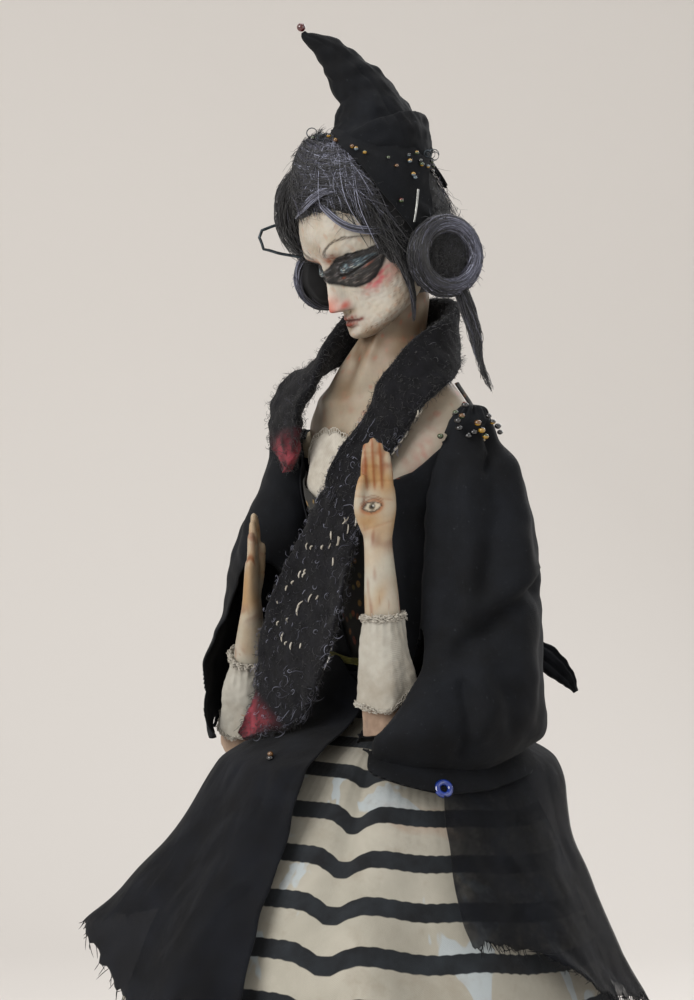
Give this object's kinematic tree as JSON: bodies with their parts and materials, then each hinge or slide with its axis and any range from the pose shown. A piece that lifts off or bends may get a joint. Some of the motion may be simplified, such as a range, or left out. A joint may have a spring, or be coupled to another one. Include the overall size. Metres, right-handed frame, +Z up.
{
  "type": "art doll",
  "caption": "Standing witch art doll: clay head and hands, bent cone hat, felt stole, black coat and long pleated skirt on a wooden base.",
  "frame": {"origin": "centre of the underside of the round base", "axes": "+Z up along the doll, the doll faces -Y, its left hand is on +X"},
  "size_m": [0.2055, 0.2049, 0.4501],
  "materials": {
    "clay": "polymer clay, painted and varnished to a satin",
    "wood": "dark stained and waxed",
    "steel": "drawn wire",
    "leather": "thin black boot leather",
    "stuffed_cloth": "cotton stuffed with fibre over wire",
    "striped_cotton": "cream twill with level black stripes and faint stains",
    "cream_cotton": "soft washed cotton",
    "leaf_print": "cotton with a small brown and orange leaf print",
    "black_cotton": "matt black cotton with raw edges",
    "sheer_black": "sheer black voile",
    "felt": "hand-made black wool felt",
    "mohair": "black and lavender grey mohair",
    "lace": "off-white crocheted lace",
    "ribbon": "olive ribbon",
    "amber_bead": "amber and gold seed beads on thread",
    "red_bead": "dark red glass bead",
    "blue_bead": "blue glass ring",
    "wire": "blackened wire"
  },
  "bodies": {
    "torso": {"base_disc": "wood", "support_rod": "steel", "left_sole": "leather", "left_boot": "leather", "left_leg": "stuffed_cloth", "right_sole": "leather", "right_boot": "leather", "right_leg": "stuffed_cloth", "torso_core": "stuffed_cloth", "bust_casting": "clay", "petticoat": "cream_cotton", "skirt": "striped_cotton", "camisole": "lace", "bodice": "leaf_print", "bodice_strap": "leaf_print", "coat_bodice": "black_cotton", "coat_left_tail": "sheer_black", "coat_right_tail": "black_cotton", "waist_sash": "black_cotton", "waist_ribbon": "ribbon", "sash_bow": "black_cotton", "stole": "felt", "hair_cap": "mohair", "left_hair_roll": "mohair", "right_hair_roll": "mohair", "right_side_lock": "mohair", "brow_lock": "mohair", "cheek_lock": "mohair", "hair_tail": "mohair", "hair_wire_loop": "wire", "hat_cap": "black_cotton", "hat_cone": "black_cotton", "hat_tip_bead": "red_bead", "hat_bead_string": "amber_bead", "hat_pin": "steel", "coat_ring_bead": "blue_bead", "coat_upper_bead": "amber_bead", "coat_lower_bead": "amber_bead"},
    "left_arm": {"left_upper_arm": "stuffed_cloth", "left_sleeve": "black_cotton", "shoulder_bead_string": "amber_bead"},
    "left_hand": {"left_forearm": "clay", "left_cuff": "lace", "left_inner_sleeve": "cream_cotton"},
    "right_arm": {"right_upper_arm": "stuffed_cloth", "right_sleeve": "black_cotton"},
    "right_hand": {"right_forearm": "clay", "right_cuff": "lace", "right_inner_sleeve": "cream_cotton"}
  },
  "joints": [
    {"name": "left_shoulder", "type": "hinge", "parent": "torso", "child": "left_arm", "pos_m": [0.032, 0.01, 0.325], "axis": [-1, 0, 0], "range_deg": [0, 25], "deforming": ["left_sleeve", "shoulder_bead_string"]},
    {"name": "left_elbow", "type": "hinge", "parent": "left_arm", "child": "left_hand", "pos_m": [0.0222, -0.0164, 0.241], "axis": [1, 0, 0], "range_deg": [0, 35], "deforming": ["left_inner_sleeve"]},
    {"name": "right_shoulder", "type": "hinge", "parent": "torso", "child": "right_arm", "pos_m": [-0.032, 0.01, 0.324], "axis": [-1, 0, 0], "range_deg": [0, 25], "deforming": ["right_sleeve"]},
    {"name": "right_elbow", "type": "hinge", "parent": "right_arm", "child": "right_hand", "pos_m": [-0.05, -0.002, 0.238], "axis": [1, 0, 0], "range_deg": [0, 35], "deforming": ["right_inner_sleeve"]}
  ]
}
